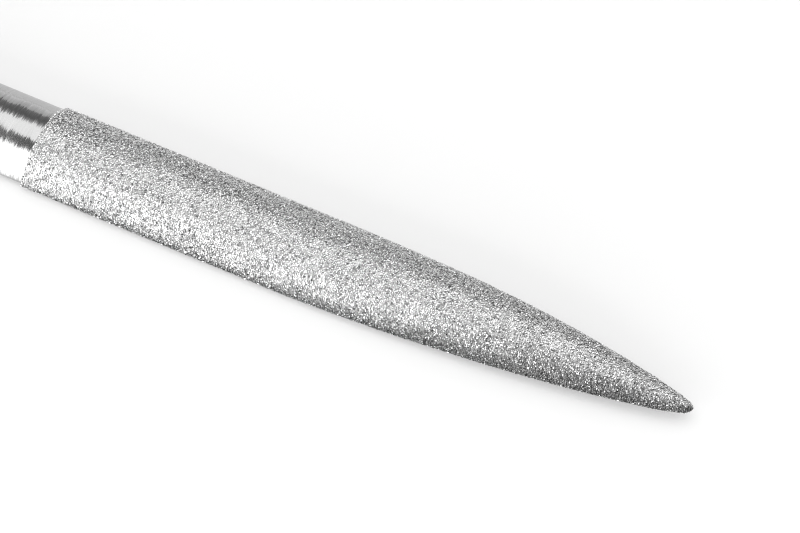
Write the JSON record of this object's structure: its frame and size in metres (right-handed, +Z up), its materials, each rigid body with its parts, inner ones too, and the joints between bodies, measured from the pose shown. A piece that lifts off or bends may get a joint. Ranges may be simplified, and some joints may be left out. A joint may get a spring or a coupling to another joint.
{
  "type": "half-round diamond file",
  "caption": "Slim half-round diamond file: round steel shank, forged shoulder, bare heel and a tapering blade with a plated diamond layer.",
  "frame": {"origin": "under the middle of the file, on the plane shared by the shank's lowest line and the plated flat side, on which the file lies", "axes": "+X along the file from butt to point, +Z up, away from the flat side and towards the round side"},
  "size_m": [0.16, 0.0074, 0.004],
  "materials": {
    "ground_steel": "bright steel with fine grinding marks across the blade's heel",
    "diamond_in_nickel": "satin plated nickel filled with sharp, glittering diamond grit"
  },
  "bodies": {
    "root": {"steel_blank": "ground_steel", "diamond_coating": "diamond_in_nickel"}
  },
  "joints": []
}
